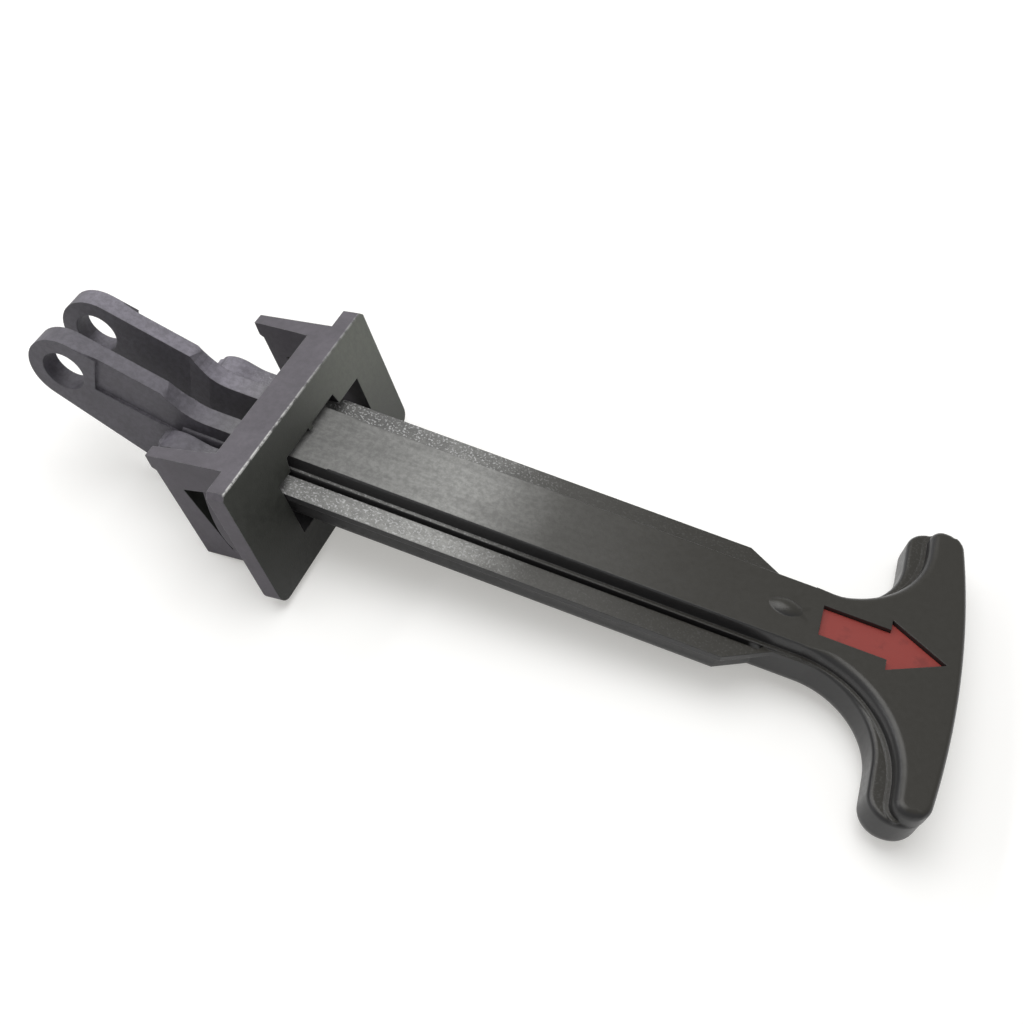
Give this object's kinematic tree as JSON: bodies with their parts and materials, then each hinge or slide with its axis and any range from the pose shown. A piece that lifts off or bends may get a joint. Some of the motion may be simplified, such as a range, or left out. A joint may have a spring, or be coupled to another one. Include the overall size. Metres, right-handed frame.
{
  "type": "hood release handle",
  "caption": "Pull handle with a T grip, a ledged bar and a clevis fork, sliding in a flanged panel guide.",
  "frame": {"origin": "centre of the clevis bore, midway between the two ears", "axes": "+X along the bar towards the grip, +Y across along the bore, +Z towards the face with the arrow"},
  "size_m": [0.1702, 0.063, 0.0269],
  "materials": {
    "black_plastic": "satin moulded plastic, scuffed on the bar",
    "red_plastic": "dull red, slightly rough",
    "guide_plastic": "matte moulded plastic, rubbed bright on the front edge"
  },
  "bodies": {
    "handle": {"handle": "black_plastic", "arrow_inlay": "red_plastic"},
    "guide": {"guide": "guide_plastic"}
  },
  "joints": [
    {"name": "guide_slide", "type": "slide", "parent": "handle", "child": "guide", "axis": [1, 0, 0], "range_m": [-0.006, 0.1]}
  ]
}
